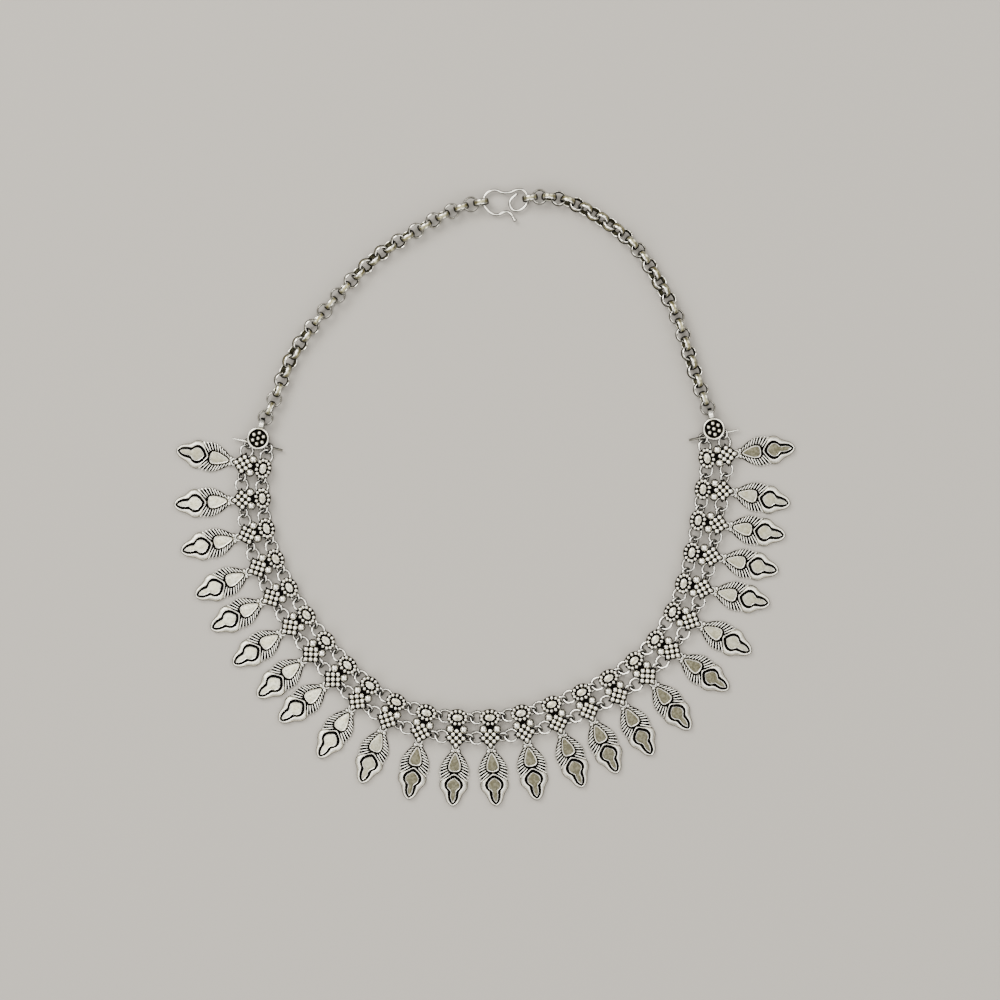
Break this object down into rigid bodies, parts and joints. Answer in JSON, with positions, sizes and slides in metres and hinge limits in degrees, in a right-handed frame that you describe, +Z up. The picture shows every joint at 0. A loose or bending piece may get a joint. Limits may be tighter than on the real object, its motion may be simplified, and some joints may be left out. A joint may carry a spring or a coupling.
{
  "type": "silver collar necklace",
  "caption": "Silver collar necklace laid flat and fastened: granulated plaques with leaf drops on two strands of rings, belcher chains and an S-hook.",
  "frame": {"origin": "centre of the whole loop's outline, on the surface it lies on", "axes": "+Z up out of the surface, +Y towards the S-hook, +X towards the right-hand terminal"},
  "size_m": [0.1864, 0.1856, 0.0048],
  "materials": {
    "plaque_silver": "worn cast silver with black recesses",
    "leaf_silver": "worn cast silver, satin fields with black grooves",
    "ring_silver": "worn drawn silver wire",
    "chain_silver": "worn silver with darker inner faces"
  },
  "bodies": {
    "root": {"plaque_01": "plaque_silver", "leaf_01": "leaf_silver", "plaque_02": "plaque_silver", "leaf_02": "leaf_silver", "plaque_03": "plaque_silver", "leaf_03": "leaf_silver", "plaque_04": "plaque_silver", "leaf_04": "leaf_silver", "plaque_05": "plaque_silver", "leaf_05": "leaf_silver", "plaque_06": "plaque_silver", "leaf_06": "leaf_silver", "plaque_07": "plaque_silver", "leaf_07": "leaf_silver", "plaque_08": "plaque_silver", "leaf_08": "leaf_silver", "plaque_09": "plaque_silver", "leaf_09": "leaf_silver", "plaque_10": "plaque_silver", "leaf_10": "leaf_silver", "plaque_11": "plaque_silver", "leaf_11": "leaf_silver", "plaque_12": "plaque_silver", "leaf_12": "leaf_silver", "plaque_13": "plaque_silver", "leaf_13": "leaf_silver", "plaque_14": "plaque_silver", "leaf_14": "leaf_silver", "plaque_15": "plaque_silver", "leaf_15": "leaf_silver", "plaque_16": "plaque_silver", "leaf_16": "leaf_silver", "plaque_17": "plaque_silver", "leaf_17": "leaf_silver", "plaque_18": "plaque_silver", "leaf_18": "leaf_silver", "plaque_19": "plaque_silver", "leaf_19": "leaf_silver", "plaque_20": "plaque_silver", "leaf_20": "leaf_silver", "plaque_21": "plaque_silver", "leaf_21": "leaf_silver", "plaque_22": "plaque_silver", "leaf_22": "leaf_silver", "plaque_23": "plaque_silver", "leaf_23": "leaf_silver", "plaque_24": "plaque_silver", "leaf_24": "leaf_silver", "plaque_25": "plaque_silver", "leaf_25": "leaf_silver", "upper_links": "ring_silver", "lower_links": "ring_silver", "chain_left": "chain_silver", "chain_right": "chain_silver", "terminal_left": "plaque_silver", "terminal_right": "plaque_silver", "s_hook": "ring_silver"}
  },
  "joints": []
}
